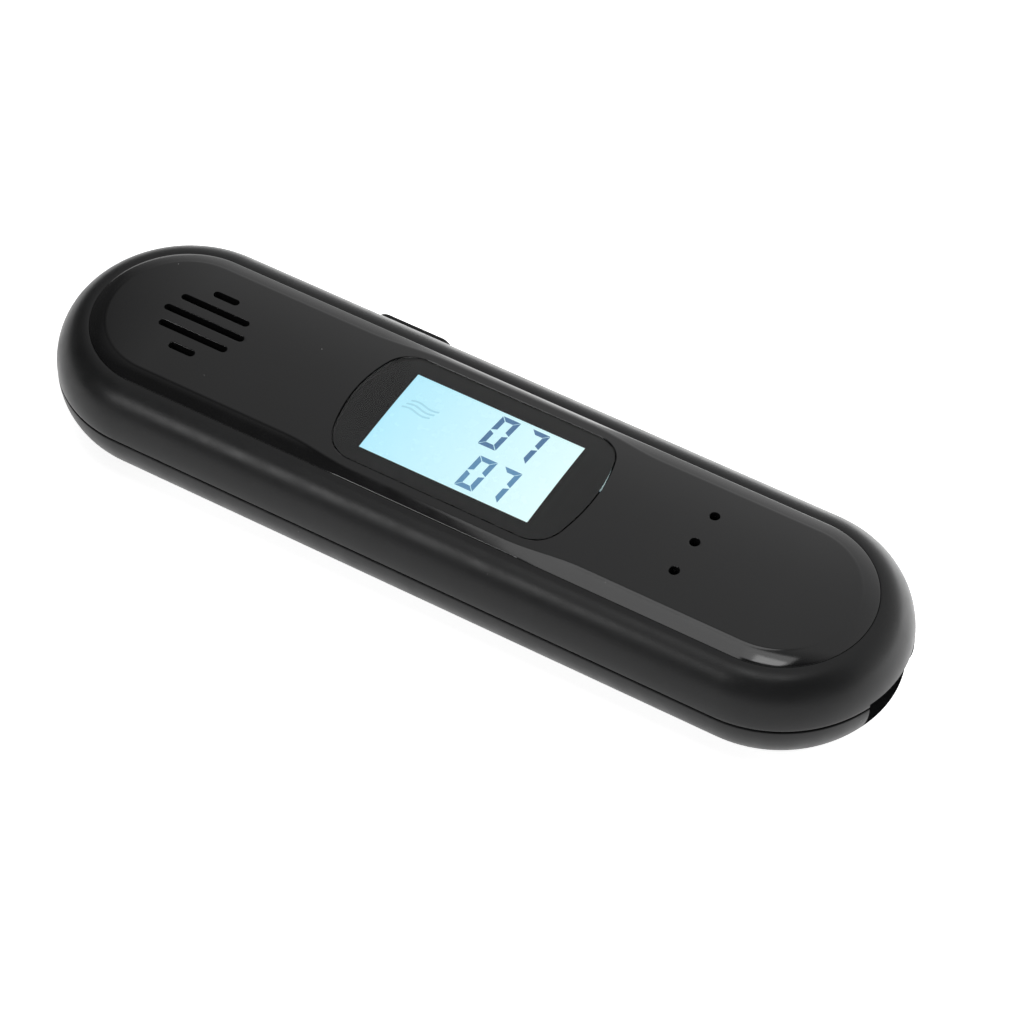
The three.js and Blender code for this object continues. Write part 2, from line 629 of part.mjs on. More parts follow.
const CELL = { x0: -21, x1: 28.5, halfWidth: 11, bottomZ: 2.1, topZ: 6.7 };
const LEAD_RADIUS = 0.5;
const PLUG_X = -34.4;
const LEAD_Z = 6.4;

function batteryCell() {
  const section = roundedRectangle(CELL.topZ - CELL.bottomZ, 2 * CELL.halfWidth, 1.4);
  const geometry = plate(section, CELL.x0, CELL.x1, 4);
  return geometry.rotateY(QUARTER_TURN).translate(0, 0, (CELL.bottomZ + CELL.topZ) / 2);
}

function batteryLead(side) {
  const z = 4.6;
  const route = new THREE.CatmullRomCurve3([
    new THREE.Vector3(PLUG_X, side, LEAD_Z),
    new THREE.Vector3(PLUG_X - 2, side * 1.2, LEAD_Z),
    new THREE.Vector3(PLUG_X - 3.6, side * 3.4, LEAD_Z - 0.5),
    new THREE.Vector3(PLUG_X - 2, side * 6.2, z + 0.4),
    new THREE.Vector3(PLUG_X + 3, side * 7, z),
    new THREE.Vector3(CELL.x0 - 4.6, side * 7, z),
    new THREE.Vector3(CELL.x0 - 1.3, side * 7, z),
  ]);
  const section = new THREE.Shape();
  section.absarc(0, 0, LEAD_RADIUS, 0, 4 * QUARTER_TURN);
  return new THREE.ExtrudeGeometry(section, { steps: 22, curveSegments: 4, extrudePath: route });
}

add("battery_pad", box(-16, 24, -8, 8, FLOOR_Z, CELL.bottomZ), SOFT_BLACK);
add("battery_cell", batteryCell(), FOIL_GREY);
add("battery_board", box(CELL.x0 - 1.3, CELL.x0, -9, 9, 3.4, 5.8), BOARD_GREEN);
add("battery_socket", cut(
  box(-31, -26.5, -3, 3, 5, BOARD_BOTTOM_Z),
  box(-32, -28, -2.4, 2.4, 5.6, 7.5),
), SOCKET_WHITE);
add("battery_plug", join(
  box(-31.3, -28.3, -2.2, 2.2, 5.8, 7.3),
  box(PLUG_X, -31.2, -2.6, 2.6, 5.3, 7.7),
), SOCKET_WHITE);
add("battery_wire_red", batteryLead(1), WIRE_RED);
add("battery_wire_black", batteryLead(-1), WIRE_BLACK);

// ---------------------------------------------------------------- charging port

function portShell() {
  const wall = 0.3;
  const length = PORT.frontX - PORT.backX;
  const tube = withHole(
    roundedRectangle(PORT.height, PORT.width, 0.7),
    roundedRectangle(PORT.height - 2 * wall, PORT.width - 2 * wall, 0.45),
  );
  return plate(tube, 0, length, 3).rotateY(QUARTER_TURN).translate(PORT.backX, 0, PORT.z);
}

function portTongue() {
  const base = box(PORT.backX, PORT.backX + 1.2, -3.3, 3.3, PORT.z - 0.9, PORT.z + 0.9);
  const tongue = box(PORT.backX + 1, PORT.frontX - 0.8, -2.2, 2.2, PORT.z + 0.1, PORT.z + 0.7);
  return join(base, tongue);
}

add("port_shell", portShell(), STEEL);
add("port_tongue", portTongue(), CHIP_BLACK);

// ---------------------------------------------------------------- side button and switch

const SWITCH = { halfLength: 3.1, backY: 9.6, frontY: 13.2, topZ: 12.5 };
const PLUNGER_REST_GAP = 0.05;

function sideButton() {
  const flange = BUTTON.radius + 0.9;
  const height = BUTTON.faceY - BUTTON_FLANGE_Y;
  const edge = 0.7;
  const profile = [
    [0, 0],
    [flange, 0],
    [flange, BUTTON_FLANGE_THICKNESS],
    [BUTTON.radius, BUTTON_FLANGE_THICKNESS],
    ...ellipse([BUTTON.radius - edge, height - edge], [edge, edge], 0, 90, 4),
    [0, height],
  ];
  const cap = capsule(profile, BUTTON.halfStraight, ROUND_SEGMENTS);
  return cap.rotateX(-QUARTER_TURN).translate(BUTTON.x, BUTTON_FLANGE_Y, BUTTON.z);
}

function switchBody() {
  const { halfLength, backY, frontY, topZ } = SWITCH;
  const body = box(BUTTON.x - halfLength, BUTTON.x + halfLength, backY, frontY, BOARD_TOP_Z, topZ);
  const guide = box(BUTTON.x - 1.6, BUTTON.x + 1.6, 11.8, frontY + 1, BUTTON.z - 0.9, BUTTON.z + 0.9);
  return cut(body, guide);
}

function switchPlunger() {
  const tipY = BUTTON_FLANGE_Y - PLUNGER_REST_GAP;
  return box(BUTTON.x - 1.5, BUTTON.x + 1.5, 12.4, tipY, BUTTON.z - 0.8, BUTTON.z + 0.8);
}

add("side_button", sideButton(), SOFT_BLACK);
add("switch_body", switchBody(), CHIP_BLACK);
add("switch_plunger", switchPlunger(), SOCKET_WHITE);

// ---------------------------------------------------------------- case screws

function caseScrew(x, y) {
  const headZ = 0.9;
  const profile = [
    [0, headZ], [1.5, headZ], [1.8, 1.3], [1.8, SCREW_SEAT_Z],
    [0.9, SCREW_SEAT_Z], [0.9, 12.2], [0, 13],
  ];
  const slotLong = 1.1;
  const slotHalf = 0.22;
  const slotTop = headZ + 0.7;
  return cut(
    turned(profile, 20),
    box(-slotLong, slotLong, -slotHalf, slotHalf, 0, slotTop),
    box(-slotHalf, slotHalf, -slotLong, slotLong, 0, slotTop),
  ).translate(x, y, 0);
}

for (const { name, x, y } of SCREW_PLACES) {
  add(name, caseScrew(x, y), STEEL);
}

export default tester;
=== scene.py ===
import json
import math

import bmesh
import bpy
from mathutils import Matrix, Vector


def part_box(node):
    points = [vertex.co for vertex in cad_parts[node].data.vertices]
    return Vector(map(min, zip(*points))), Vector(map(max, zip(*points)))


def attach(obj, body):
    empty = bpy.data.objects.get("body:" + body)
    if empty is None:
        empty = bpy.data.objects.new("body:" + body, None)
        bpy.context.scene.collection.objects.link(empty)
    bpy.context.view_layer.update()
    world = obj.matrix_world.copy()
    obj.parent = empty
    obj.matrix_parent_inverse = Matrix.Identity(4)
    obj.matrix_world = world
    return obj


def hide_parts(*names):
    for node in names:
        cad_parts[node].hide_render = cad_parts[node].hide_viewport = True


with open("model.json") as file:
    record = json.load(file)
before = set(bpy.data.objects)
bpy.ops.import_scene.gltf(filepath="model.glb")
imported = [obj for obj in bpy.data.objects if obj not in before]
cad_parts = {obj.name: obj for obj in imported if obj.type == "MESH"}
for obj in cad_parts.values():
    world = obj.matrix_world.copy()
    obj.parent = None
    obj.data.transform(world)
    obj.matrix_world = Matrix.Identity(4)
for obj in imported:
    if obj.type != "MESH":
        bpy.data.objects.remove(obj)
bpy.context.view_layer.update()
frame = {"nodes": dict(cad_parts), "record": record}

# A hand-held breath alcohol tester, at rest on a pale floor. The frame gives the sizes; the
# fine surfaces, the display's segments and every material are made here.

# ------------------------------------------------------------------ sizes, in metres

MM = 0.001


def extent(node, axis):
    low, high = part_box(node)
    return low[axis], high[axis]


def middle(node, axis):
    low, high = extent(node, axis)
    return (low + high) / 2


CASE_HALF_LENGTH = 67.5 * MM
END_RADIUS = 18.75 * MM
HALF_STRAIGHT = CASE_HALF_LENGTH - END_RADIUS

LOWER_RIM_Z = 8.45 * MM
UPPER_RIM_Z = extent("top_shell", 2)[0]
SEAM_Z = (LOWER_RIM_Z + UPPER_RIM_Z) / 2
RIM_EDGE = 0.18 * MM
BOARD_BOTTOM_Z, BOARD_TOP_Z = extent("main_board", 2)
CREASE_Z = extent("top_shell", 2)[1]
CREASE_RADIUS = 13.56 * MM
TOP_Z = extent("top_panel", 2)[1]
DECK_TOP_Z = extent("top_panel", 2)[0]
DECK_BOTTOM_Z = 14 * MM
PANEL_RADIUS = 13.53 * MM
FACE_RADIUS = 11.1 * MM
CROWN_RADIUS = 70 * MM

# The panel's face widens on both sides of the display, and narrows back past it. The band
# that slopes from it down to the crease is itself slightly rounded.
SWELL = 1.15 * MM
SWELL_FULL_X = 12 * MM
SWELL_GONE_X = 24 * MM
BAND_RADIUS = 12 * MM

LENS_BOTTOM_Z = extent("display_lens", 2)[0]
LENS_HALF_LENGTH = extent("display_lens", 0)[1]
LENS_HALF_WIDTH = extent("display_lens", 1)[1]
LENS_END_RADIUS = 25 * MM
LENS_CORNER_RADIUS = 4.7 * MM
LENS_GAP = 0.06 * MM
LENS_SUNK = 0.05 * MM
MASK_BOTTOM_Z = extent("lens_mask", 2)[0]
GASKET_BOTTOM_Z = extent("lens_gasket", 2)[0]
GLASS_TOP_Z = extent("lcd_glass", 2)[1]
WINDOW_X = middle("lcd_glass", 0)
WINDOW_Y = middle("lcd_glass", 1)
WINDOW_LENGTH = 27.4 * MM
WINDOW_WIDTH = 15.75 * MM
GASKET_HOLE = (33.2 * MM, 19.6 * MM, 1 * MM)
DISPLAY_OPENING = (17.2 * MM, 10.6 * MM)

SENSOR_X = middle("sensor_can", 0)
SLOT_PITCH = 2.89 * MM
SLOT_RADIUS = 0.575 * MM
SLOT_HALF_LENGTHS = [1.55 * MM, 5.17 * MM, 6.16 * MM, 5.17 * MM, 1.55 * MM]
INTAKE_RADIUS = 5.6 * MM
MESH_SEAT = (8 * MM, 7.8 * MM, 0.4 * MM)
LIGHT_NAMES = ["green", "amber", "red"]
LIGHT_X = middle("light_pipe_amber", 0)
LIGHT_HOLE_RADIUS = 0.75 * MM

SCREWS = [name for name in frame["nodes"] if name.startswith("case_screw")]
BOSS_RADIUS = 2.4 * MM
SCREW_HOLE_RADIUS = 1.15 * MM
HEAD_RECESS_RADIUS = 2.05 * MM
PILOT_RADIUS = 1 * MM
PILOT_TOP_Z = 13.6 * MM
BUTTON_X = middle("side_button", 0)
BUTTON_Z = middle("side_button", 2)
BUTTON_BACK_Y, BUTTON_FACE_Y = extent("side_button", 1)
BUTTON_HALF_STRAIGHT = 4.45 * MM
BUTTON_RADIUS = 1.9 * MM
BUTTON_CLEARANCE = 0.2 * MM
BUTTON_ROOM_HALF_LENGTH = 7.9 * MM

PORT_Z = middle("port_shell", 2)
PORT_BACK_X, PORT_FRONT_X = extent("port_shell", 0)
RECESS_FLOOR_X = 64.4 * MM
RECESS_HALF_WIDTH = 6.5 * MM
RECESS_BOTTOM_Z = 3.9 * MM
RECESS_TOP_Z = 9.4 * MM
UPPER_RECESS_FLOOR_X = 65.6 * MM
PORT_WALL_X = (62.4 * MM, 69 * MM)
PORT_WALL_HALF_WIDTH = 7.8 * MM
PORT_HOLE_RADIUS = 1.75 * MM
PORT_HOLE_HALF_STRAIGHT = 2.6 * MM

# Cutting tools start and end well clear of what they cut.
DECK_CUT_Z = (12 * MM, 17 * MM)
PANEL_CUT_BOTTOM_Z = 14 * MM
BEYOND_END_X = 70 * MM

ARC_STEPS = 72
ROUND_STEPS = 48

# ------------------------------------------------------------------ camera


def make_camera():
    azimuth, elevation = math.radians(31.505), math.radians(49.357)
    roll = math.radians(-0.6)
    aim = Vector((6.906, -1.222, 8.6)) * MM
    eye = Vector((210.01, -332.6, 461.38)) * MM
    back = Vector((
        math.sin(azimuth) * math.cos(elevation),
        -math.cos(azimuth) * math.cos(elevation),
        math.sin(elevation),
    ))
    level = Vector((0, 0, 1)).cross(back).normalized()
    upright = back.cross(level)
    right = level * math.cos(roll) + upright * math.sin(roll)
    up = upright * math.cos(roll) - level * math.sin(roll)
    turn = Matrix((right, up, back)).transposed().to_4x4()
    data = bpy.data.cameras.new("camera")
    data.lens = 149.7
    data.sensor_width = 36
    data.clip_start = 0.01
    data.clip_end = 20
    camera = bpy.data.objects.new("camera", data)
    camera.matrix_world = Matrix.Translation(eye) @ turn
    bpy.context.scene.collection.objects.link(camera)
    bpy.context.scene.camera = camera
    return aim


aim_point = make_camera()

# ------------------------------------------------------------------ outlines
# An outline is a list of (x, y) points, anticlockwise. Each maker gives the same number of
# points whatever its sizes, so that outlines of one kind can be stacked into a solid.


def arc(centre, radius, start, end, steps):
    angles = [start + (end - start) * i / steps for i in range(steps + 1)]
    return [(centre[0] + radius * math.cos(a), centre[1] + radius * math.sin(a)) for a in angles]


def stadium(radius, half_straight=HALF_STRAIGHT, steps=ARC_STEPS, centre=(0, 0)):
    x, y = centre
    right = arc((x + half_straight, y), radius, -math.pi / 2, math.pi / 2, steps)
    left = arc((x - half_straight, y), radius, math.pi / 2, 3 * math.pi / 2, steps)
    return right + left


def circle(radius, centre=(0, 0), steps=ROUND_STEPS):
    return arc(centre, radius, 0, 2 * math.pi * (1 - 1 / steps), steps - 1)


def rectangle(length, width, corner, centre=(0, 0), steps=6):
    x, y = length / 2 - corner, width / 2 - corner
    corners = [(x, y, 0), (-x, y, 1), (-x, -y, 2), (x, -y, 3)]
    points = []
    for cx, cy, quarter in corners:
        start = quarter * math.pi / 2
        points += arc((centre[0] + cx, centre[1] + cy), corner, start, start + math.pi / 2, steps)
    return points


def lens_outline(inset):
    half_width = LENS_HALF_WIDTH - inset
    end_radius = LENS_END_RADIUS - inset
    corner = LENS_CORNER_RADIUS - inset
    end_centre = LENS_HALF_LENGTH - LENS_END_RADIUS
    rise = half_width - corner
    run = math.sqrt((end_radius - corner) ** 2 - rise ** 2)
    bow = math.atan2(rise, run)
    corner_x = end_centre + run
    half_turn = math.pi
    quarter = math.pi / 2
    return (
        arc((corner_x, -rise), corner, -quarter, -bow, 16)[:-1]
        + arc((end_centre, 0), end_radius, -bow, bow, 16)
        + arc((corner_x, rise), corner, bow, quarter, 16)[1:]
        + arc((-corner_x, rise), corner, quarter, half_turn - bow, 16)[:-1]
        + arc((-end_centre, 0), end_radius, half_turn - bow, half_turn + bow, 16)
        + arc((-corner_x, -rise), corner, half_turn + bow, 3 * quarter, 16)[1:]
    )


def ellipse(centre, semi_axes, start_degrees, end_degrees, steps):
    """(radius, height) points along an ellipse, for the profile of a stacked solid."""
    points = []
    for i in range(steps + 1):
        angle = math.radians(start_degrees + (end_degrees - start_degrees) * i / steps)
        points.append((
            centre[0] + semi_axes[0] * math.cos(angle),
            centre[1] + semi_axes[1] * math.sin(angle),
        ))
    return points


def round_corner(centre, radius, start_degrees, end_degrees, steps=4):
    return ellipse(centre, (radius, radius), start_degrees, end_degrees, steps)


# ------------------------------------------------------------------ solids


def link(name, mesh):
    piece = bpy.data.objects.new(name, mesh)
    bpy.context.scene.collection.objects.link(piece)
    return piece


def loft(name, rings, closed=False):
    """A solid through rings of (x, y, z) points, all with the same number of points.

    A closed one is a tube: its last ring joins its first.
    """
    bm = bmesh.new()
    rings = [[bm.verts.new(point) for point in ring] for ring in rings]
    pairs = list(zip(rings, rings[1:]))
    if closed:
        pairs.append((rings[-1], rings[0]))
    for lower, upper in pairs:
        count = len(lower)
        for i in range(count):
            j = (i + 1) % count
            bm.faces.new((lower[i], lower[j], upper[j], upper[i]))
    if not closed:
        bm.faces.new(list(reversed(rings[0])))
        bm.faces.new(rings[-1])
    bmesh.ops.remove_doubles(bm, verts=bm.verts, dist=1e-8)
    bmesh.ops.recalc_face_normals(bm, faces=bm.faces)
    mesh = bpy.data.meshes.new(name)
    bm.to_mesh(mesh)
    bm.free()
    return link(name, mesh)


def stack(name, levels, closed=False):
    """A solid through stacked outlines: levels is a list of (outline, height)."""
    return loft(name, [[(x, y, z) for x, y in outline] for outline, z in levels], closed)


def capsule(name, profile, half_straight=HALF_STRAIGHT, steps=ARC_STEPS, centre=(0, 0)):
    """A stadium-shaped solid from a profile of (radius, height) points."""
    return stack(name, [(stadium(radius, half_straight, steps, centre), z) for radius, z in profile])


def turned(name, profile, centre=(0, 0), steps=ROUND_STEPS):
    """A round solid from a profile of (radius, height) points."""
    return stack(name, [(circle(radius, centre, steps), z) for radius, z in profile])


def block(name, low, high):
    corners = [(low[0], low[1]), (high[0], low[1]), (high[0], high[1]), (low[0], high[1])]
    return stack(name, [(corners, low[2]), (corners, high[2])])


def rod(name, radius, low_z, high_z, centre=(0, 0), steps=ROUND_STEPS):
    return turned(name, [(radius, low_z), (radius, high_z)], centre, steps)


def place(piece, matrix):
    piece.data.transform(matrix)
    piece.data.update()
    return piece


def boolean(piece, tools, operation):
    """Joins the tools to the piece or cuts them from it, and removes the tools."""
    for tool in tools:
        modifier = piece.modifiers.new(tool.name, "BOOLEAN")
        modifier.operation = operation
        modifier.solver = "EXACT"
        modifier.object = tool
    depsgraph = bpy.context.evaluated_depsgraph_get()
    mesh = bpy.data.meshes.new_from_object(piece.evaluated_get(depsgraph))
    piece.modifiers.clear()
    piece.data = mesh
    for tool in tools:
        bpy.data.objects.remove(tool)
    return piece


def cut(piece, *tools):
    return boolean(piece, tools, "DIFFERENCE")


def join(piece, *tools):
    return boolean(piece, tools, "UNION")


def smooth(piece, degrees=28):
    """Smooth shading that keeps large faces flat and every edge sharper than the angle crisp."""
    mesh = piece.data
    mesh.shade_smooth()
    mesh.set_sharp_from_angle(angle=math.radians(degrees))
    weighted = piece.modifiers.new("weighted", "WEIGHTED_NORMAL")
    weighted.keep_sharp = True
    weighted.weight = 100
    return piece


def flared(radius, bottom_z, top_z, flare):
    """The profile of a cutter whose mouth, at top_z, opens with a small rounded edge."""
    lip = [(radius + flare * (1 - math.cos(a)), top_z - flare * (1 - math.sin(a)))
           for a in [math.radians(i * 22.5) for i in range(5)]]
    rise = 2 * MM
    return [(radius, bottom_z)] + lip + [(radius + flare, top_z + rise)]


# ------------------------------------------------------------------ materials


def shader(name):
    material = bpy.data.materials.new(name)
    material.use_nodes = True
    tree = material.node_tree
    return material, tree, tree.nodes["Principled BSDF"]


def node(tree, kind, inputs=None, **settings):
    made = tree.nodes.new(kind)
    for key, value in settings.items():
        setattr(made, key, value)
    for key, value in (inputs or {}).items():
        if hasattr(value, "is_output"):
            tree.links.new(value, made.inputs[key])
        else:
            made.inputs[key].default_value = value
    return made


def noise(tree, scale, detail=3.0, roughness=0.5, vector=None):
    """Object-space noise; scale is in cycles a metre."""
    place_node = vector or node(tree, "ShaderNodeTexCoord").outputs["Object"]
    inputs = {"Vector": place_node, "Scale": scale, "Detail": detail, "Roughness": roughness}
    return node(tree, "ShaderNodeTexNoise", inputs).outputs["Fac"]


def remap(tree, value, from_low, from_high, to_low, to_high):
    inputs = {
        "Value": value, "From Min": from_low, "From Max": from_high, "To Min": to_low, "To Max": to_high,
    }
    return node(tree, "ShaderNodeMapRange", inputs).outputs["Result"]


def mixed_color(tree, factor, first, second):
    mix = node(tree, "ShaderNodeMix", data_type="RGBA")
    if hasattr(factor, "is_output"):
        tree.links.new(factor, mix.inputs["Factor"])
    else:
        mix.inputs["Factor"].default_value = factor
    for socket, color in ((mix.inputs[6], first), (mix.inputs[7], second)):
        if hasattr(color, "is_output"):
            tree.links.new(color, socket)
        else:
            socket.default_value = (*color, 1)
    return mix.outputs[2]


def dust(tree, cell_size, share, seed):
    """Sparse round specks: 1 on a speck, 0 elsewhere. share is the part of cells that has one."""
    coordinates = node(tree, "ShaderNodeTexCoord").outputs["Object"]
    inputs = {"Vector": coordinates, "Location": (seed, seed * 1.7, seed * 0.3)}
    moved = node(tree, "ShaderNodeMapping", inputs).outputs["Vector"]
    cells = node(tree, "ShaderNodeTexVoronoi", {"Vector": moved, "Scale": 1 / cell_size})
    chance = node(tree, "ShaderNodeSeparateColor", {"Color": cells.outputs["Color"]})
    chosen = node(tree, "ShaderNodeMath", {0: chance.outputs["Red"], 1: share}, operation="LESS_THAN")
    size = remap(tree, chance.outputs["Green"], 0, 1, 0.02, 0.07)
    near = node(tree, "ShaderNodeMath", {0: cells.outputs["Distance"], 1: size}, operation="LESS_THAN")
    both = node(tree, "ShaderNodeMath", {0: chosen.outputs[0], 1: near.outputs[0]}, operation="MULTIPLY")
    return both.outputs[0]


def add_bump(tree, bsdf, height, distance, strength=1.0):
    bump = node(tree, "ShaderNodeBump", {"Height": height, "Distance": distance, "Strength": strength})
    tree.links.new(bump.outputs["Normal"], bsdf.inputs["Normal"])


def moulded(name, color, roughness, grain_size=0.16 * MM, grain_depth=0.004 * MM, spread=0.05,
            specks=0.0, specular=0.5):
    """Moulded plastic or rubber: eroded grain, slight mottling, and dust on the outside ones."""
    material, tree, bsdf = shader(name)
    mottle = noise(tree, 90, 4)
    lighter = tuple(min(1, c * 1.18 + 0.001) for c in color)
    darker = tuple(c * 0.86 for c in color)
    tone = mixed_color(tree, mottle, darker, lighter)
    rough = remap(tree, noise(tree, 260, 4, 0.6), 0.3, 0.7, roughness - spread, roughness + spread)
    if specks:
        speck = dust(tree, 1.3 * MM, specks, 0.31)
        tone = mixed_color(tree, speck, tone, (0.32, 0.32, 0.32))
    tree.links.new(tone, bsdf.inputs["Base Color"])
    tree.links.new(rough, bsdf.inputs["Roughness"])
    bsdf.inputs["Specular IOR Level"].default_value = specular
    if grain_depth:
        add_bump(tree, bsdf, noise(tree, 1 / grain_size, 2, 0.6), grain_depth)
    return material


def metal(name, color, roughness, brushed=0.0):
    material, tree, bsdf = shader(name)
    coordinates = node(tree, "ShaderNodeTexCoord").outputs["Object"]
    stretch = (1, 1, 1 - brushed)
    mapped = node(tree, "ShaderNodeMapping", {"Vector": coordinates, "Scale": stretch}).outputs["Vector"]
    streaks = noise(tree, 3000, 3, 0.6, mapped)
    darker = tuple(c * 0.85 for c in color)
    tree.links.new(mixed_color(tree, streaks, darker, color), bsdf.inputs["Base Color"])
    rough = remap(tree, streaks, 0.3, 0.7, roughness - 0.06, roughness + 0.08)
    tree.links.new(rough, bsdf.inputs["Roughness"])
    bsdf.inputs["Metallic"].default_value = 1
    add_bump(tree, bsdf, streaks, 0.002 * MM)
    return material


def clear(name, color, roughness=0.02, ior=1.49):
    material, tree, bsdf = shader(name)
    tint = mixed_color(tree, noise(tree, 60, 2), tuple(c * 0.98 for c in color), color)
    tree.links.new(tint, bsdf.inputs["Base Color"])
    rough = remap(tree, noise(tree, 300, 3), 0.3, 0.7, roughness * 0.6, roughness * 1.6)
    tree.links.new(rough, bsdf.inputs["Roughness"])
    bsdf.inputs["Transmission Weight"].default_value = 1
    bsdf.inputs["IOR"].default_value = ior
    return material


def circuit_board(name):
    """Green solder mask over copper tracks, with a fine grid of plated holes."""
    material, tree, bsdf = shader(name)
    coordinates = node(tree, "ShaderNodeTexCoord").outputs["Object"]
    brick = node(tree, "ShaderNodeTexBrick", {
        "Vector": coordinates, "Color1": (0.03, 0.17, 0.075, 1), "Color2": (0.035, 0.2, 0.09, 1),
        "Mortar": (0.012, 0.09, 0.04, 1), "Scale": 420.0, "Mortar Size": 0.03,
    })
    cells = node(tree, "ShaderNodeTexVoronoi", {"Vector": coordinates, "Scale": 320.0})
    near_hole = {0: cells.outputs["Distance"], 1: 0.12}
    hole = node(tree, "ShaderNodeMath", near_hole, operation="LESS_THAN").outputs[0]
    plated = mixed_color(tree, hole, brick.outputs["Color"], (0.55, 0.5, 0.3))
    tree.links.new(plated, bsdf.inputs["Base Color"])
    tree.links.new(remap(tree, noise(tree, 400), 0.3, 0.7, 0.25, 0.4), bsdf.inputs["Roughness"])
    add_bump(tree, bsdf, brick.outputs["Fac"], 0.01 * MM)
    return material


def backlit_display(name):
    """The lit display: cyan on the sensor side, almost white on the port side."""
    material, tree, bsdf = shader(name)
    coordinates = node(tree, "ShaderNodeTexCoord").outputs["Object"]
    parts = node(tree, "ShaderNodeSeparateXYZ", {"Vector": coordinates})
    window_start, window_end = WINDOW_X - WINDOW_LENGTH / 2, WINDOW_X + WINDOW_LENGTH / 2
    along = remap(tree, parts.outputs["X"], window_start, window_end, 0, 1)
    glow = mixed_color(tree, along, (0.46, 0.85, 1.0), (0.76, 1.0, 1.0))
    tree.links.new(glow, bsdf.inputs["Emission Color"])
    bsdf.inputs["Emission Strength"].default_value = 1.0
    bsdf.inputs["Base Color"].default_value = (0.05, 0.06, 0.06, 1)
    tree.links.new(remap(tree, noise(tree, 500), 0.3, 0.7, 0.2, 0.3), bsdf.inputs["Roughness"])
    return material


MATERIALS = {
    "matte_black": moulded("matte_black", (0.012, 0.0122, 0.0126), 0.34, specks=0.03, specular=0.29),
    # A darker, less shiny copy of matte_black for the lower shell: painted shade, standing in for the shaded
    # floor near the tester that the lower shell reflects.
    "matte_black_painted_shade": moulded(
        "matte_black_painted_shade", (0.011, 0.0112, 0.0116), 0.36, specks=0.03, specular=0.19,
    ),
    "gloss_black": moulded(
        "gloss_black", (0.008, 0.008, 0.0083), 0.1, grain_depth=0, spread=0.02, specks=0.03,
    ),
    "clear_window": clear("clear_window", (0.97, 0.98, 0.98), 0.006, 1.31),
    "print_black": moulded("print_black", (0.004, 0.004, 0.0042), 0.4, grain_depth=0, specular=0.05),
    "foam_black": moulded("foam_black", (0.02, 0.02, 0.02), 0.9, 0.3 * MM, 0.05 * MM),
    "lcd_cyan": backlit_display("lcd_cyan"),
    "guide_white": moulded("guide_white", (0.85, 0.87, 0.86), 0.5),
    "frame_black": moulded("frame_black", (0.02, 0.02, 0.021), 0.45),
    "connector_rubber": moulded("connector_rubber", (0.12, 0.12, 0.13), 0.7),
    "board_green": circuit_board("board_green"),
    "chip_black": moulded("chip_black", (0.02, 0.02, 0.021), 0.5, 0.08 * MM, 0.006 * MM),
    "buzzer_black": moulded("buzzer_black", (0.018, 0.018, 0.018), 0.4),
    "ferrite_grey": moulded("ferrite_grey", (0.1, 0.1, 0.105), 0.6, 0.1 * MM, 0.01 * MM),
    "bright_steel": metal("bright_steel", (0.66, 0.67, 0.68), 0.28, 0.9),
    "screen_steel": metal("screen_steel", (0.4, 0.41, 0.42), 0.4),
    "screw_steel": metal("screw_steel", (0.42, 0.43, 0.44), 0.32, 0.5),
    "led_green": moulded("led_green", (0.12, 0.45, 0.16), 0.25, grain_depth=0),
    "led_amber": moulded("led_amber", (0.75, 0.36, 0.05), 0.25, grain_depth=0),
    "led_red": moulded("led_red", (0.55, 0.05, 0.05), 0.25, grain_depth=0),
    "clear_pipe": clear("clear_pipe", (0.95, 0.97, 0.97), 0.05),
    "mesh_black": moulded("mesh_black", (0.008, 0.008, 0.008), 0.8, 0.25 * MM, 0.06 * MM),
    "sensor_resin": moulded("sensor_resin", (0.06, 0.05, 0.04), 0.5),
    "cell_foil": metal("cell_foil", (0.6, 0.61, 0.63), 0.38),
    "socket_white": moulded("socket_white", (0.78, 0.75, 0.68), 0.45),
    "wire_red": moulded("wire_red", (0.42, 0.02, 0.02), 0.35),
    "wire_black": moulded("wire_black", (0.02, 0.02, 0.02), 0.35),
    "button_black": moulded("button_black", (0.008, 0.008, 0.0085), 0.5, 0.2 * MM, 0.005 * MM, specular=0.2),
    "plunger_white": moulded("plunger_white", (0.8, 0.78, 0.72), 0.4),
}


def paint(piece, slot):
    piece.data.materials.clear()
    piece.data.materials.append(MATERIALS[slot])
    return piece


def finished(piece, body, slot, *nodes, look=None):
    """Paints a new piece, rides it on its body and lets it stand for its CAD nodes.

    look names the material where it isn't the slot's own.
    """
    paint(piece, look or slot)
    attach(piece, body)
    if nodes:
        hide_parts(*nodes)
    return piece


for subpart in frame["record"]["subparts"]:
    cad_node = frame["nodes"][subpart["node"]]
    for material_slot in cad_node.material_slots:
        material_slot.material = MATERIALS[subpart["material_slot"]]

# ------------------------------------------------------------------ case


def screw_places():
    return [(middle(name, 0), middle(name, 1)) for name in SCREWS]


def light_places():
    return [(LIGHT_X, middle(f"light_pipe_{name}", 1)) for name in LIGHT_NAMES]


def button_prism(name, radius, start_y, end_y):
    """A pill-shaped prism about the button's axis."""
    prism = capsule(name, [(radius, 0), (radius, end_y - start_y)], BUTTON_HALF_STRAIGHT, 24)
    turn = Matrix.Rotation(-math.pi / 2, 4, "X")
    return place(prism, Matrix.Translation((BUTTON_X, start_y, BUTTON_Z)) @ turn)


